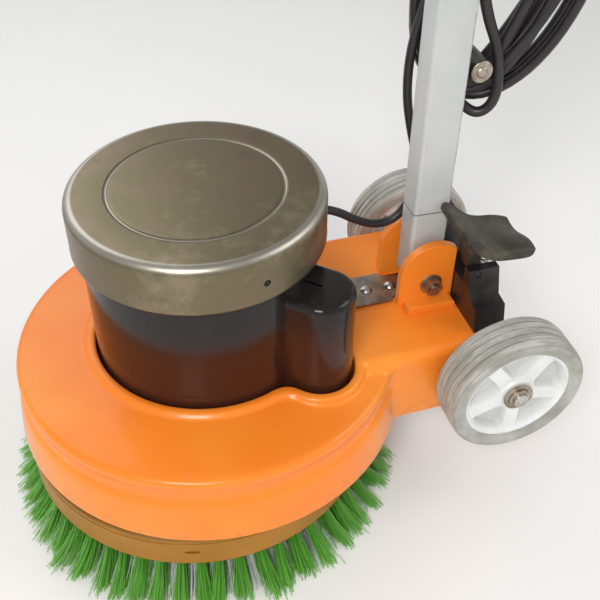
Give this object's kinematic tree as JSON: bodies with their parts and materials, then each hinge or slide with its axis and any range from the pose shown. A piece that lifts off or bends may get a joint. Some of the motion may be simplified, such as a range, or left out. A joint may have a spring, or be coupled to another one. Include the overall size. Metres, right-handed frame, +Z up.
{
  "type": "single disc floor machine",
  "caption": "Walk-behind floor machine: a geared motor on a moulded deck turns a wide scrubbing brush; two transport wheels and a tilting handle with wound mains cord.",
  "frame": {"origin": "on the floor, on the axis of the brush", "axes": "+Z up, -Y towards the front where the disc is, +X to the right seen from the front; the handle stands at +Y"},
  "size_m": [0.476, 0.6974, 1.092],
  "materials": {
    "orange_moulding": "glossy moulded plastic",
    "black_enamel": "gloss black stove enamel on steel",
    "worn_stainless": "polished stainless sheet, dulled and stained",
    "bright_steel": "machined or zinc-plated steel",
    "dull_plate": "dull rolled steel plate",
    "rusty_steel": "zinc-plated steel with rust",
    "grey_coat": "pale grey powder coat, scratched",
    "black_moulding": "black textured moulded plastic",
    "brown_black": "dusty brown-black plastic",
    "red_button": "glossy moulded plastic",
    "nylon_bush": "natural nylon",
    "cast_aluminium": "cast aluminium",
    "lamination_steel": "stacked electrical steel",
    "copper_winding": "varnished copper wire",
    "capacitor_can": "white plastic can",
    "ochre_block": "ochre moulded brush block",
    "green_bristle": "stiff green nylon bristle",
    "white_bristle": "grey-white nylon bristle",
    "grey_tyre": "grey non-marking rubber, scuffed",
    "white_hub": "white moulded plastic",
    "chrome_tube": "plated tube",
    "grip_rubber": "soft black rubber",
    "cord_rubber": "black rubber cable sheath"
  },
  "bodies": {
    "base": {"deck_housing": "orange_moulding", "chassis_plate": "dull_plate", "chassis_bolts": "bright_steel", "hinge_ears": "orange_moulding", "hinge_plate": "dull_plate", "hinge_plate_bolts": "bright_steel", "pivot_bolt": "rusty_steel", "rear_cover": "black_moulding", "pedal_pin": "bright_steel", "pedal_spring": "bright_steel", "motor_housing": "black_enamel", "motor_cap": "worn_stainless", "cap_screws": "bright_steel", "motor_frame": "cast_aluminium", "motor_top_shield": "cast_aluminium", "stator_core": "lamination_steel", "stator_windings": "copper_winding", "ball_bearings": "bright_steel", "gearbox_housing": "cast_aluminium", "gearbox_cover": "cast_aluminium", "capacitor_box": "black_enamel", "capacitors": "capacitor_can", "lead_gland": "black_moulding", "axle": "bright_steel", "axle_retainers": "bright_steel", "motor_lead_slack": "cord_rubber"},
    "rotor": {"rotor_core": "lamination_steel", "rotor_shaft": "bright_steel", "cooling_fan": "black_moulding"},
    "countershaft": {"countershaft": "bright_steel", "countershaft_gear": "bright_steel"},
    "brush": {"output_shaft": "bright_steel", "output_gear": "bright_steel", "drive_hub": "cast_aluminium", "brush_block": "ochre_block", "bristles_outer": "green_bristle", "bristles_inner": "white_bristle"},
    "wheel_right": {"tyre_right": "grey_tyre", "hub_right": "white_hub"},
    "wheel_left": {"tyre_left": "grey_tyre", "hub_left": "white_hub"},
    "pedal": {"foot_pedal": "brown_black"},
    "handle": {"handle_tube": "grey_coat", "pivot_bush": "nylon_bush", "cord_hooks": "black_moulding", "switch_box_front": "black_moulding", "switch_box_rear": "black_moulding", "switch_unit": "black_moulding", "grip_bar": "chrome_tube", "hand_grips": "grip_rubber", "button_spring": "bright_steel", "cord_gland": "black_moulding", "cord_hank": "cord_rubber", "mains_cord": "cord_rubber", "mains_plug": "cord_rubber", "plug_pins": "bright_steel", "motor_lead": "cord_rubber"},
    "trigger_left": {"trigger_left": "black_moulding"},
    "trigger_right": {"trigger_right": "black_moulding"},
    "lock_button": {"lock_button": "red_button"}
  },
  "joints": [
    {"name": "brush_spin", "type": "hinge", "parent": "base", "child": "brush", "pos_m": [0, 0, 0.07], "axis": [0, 0, 1], "continuous": true},
    {"name": "countershaft_spin", "type": "hinge", "parent": "base", "child": "countershaft", "pos_m": [0.04716, 0.0283, 0.15], "axis": [0, 0, 1], "continuous": true},
    {"name": "rotor_spin", "type": "hinge", "parent": "base", "child": "rotor", "pos_m": [0, 0.015, 0.26], "axis": [0, 0, 1], "continuous": true},
    {"name": "wheel_right_spin", "type": "hinge", "parent": "base", "child": "wheel_right", "pos_m": [0.147, 0.314, 0.1715], "axis": [1, 0, 0], "continuous": true},
    {"name": "wheel_left_spin", "type": "hinge", "parent": "base", "child": "wheel_left", "pos_m": [-0.147, 0.314, 0.1715], "axis": [1, 0, 0], "continuous": true},
    {"name": "handle_tilt", "type": "hinge", "parent": "base", "child": "handle", "pos_m": [0, 0.263, 0.2326], "axis": [-1, 0, 0], "range_deg": [0, 50], "deforming": ["motor_lead_slack"]},
    {"name": "pedal_press", "type": "hinge", "parent": "base", "child": "pedal", "pos_m": [0.043, 0.302, 0.262], "axis": [-1, 0, 0], "range_deg": [0, 8], "stiffness_Nm_per_rad": 20, "springref_deg": -2.86, "deforming": ["pedal_spring"]},
    {"name": "trigger_right_squeeze", "type": "hinge", "parent": "handle", "child": "trigger_right", "pos_m": [0.064, 0.263, 1.005], "axis": [0, -1, 0], "range_deg": [0, 5], "stiffness_Nm_per_rad": 3, "springref_deg": -6.88},
    {"name": "trigger_left_squeeze", "type": "hinge", "parent": "handle", "child": "trigger_left", "pos_m": [-0.064, 0.263, 1.005], "axis": [0, 1, 0], "range_deg": [0, 5], "stiffness_Nm_per_rad": 3, "springref_deg": -6.88},
    {"name": "button_press", "type": "slide", "parent": "handle", "child": "lock_button", "axis": [0, 0, -1], "range_m": [0, 0.0045], "stiffness_N_per_m": 800, "springref_m": -0.003, "deforming": ["button_spring"]}
  ],
  "couplings": [
    {"joint": "countershaft_spin", "follows": "brush_spin", "ratio": -2.6667},
    {"joint": "rotor_spin", "follows": "brush_spin", "ratio": 8}
  ]
}
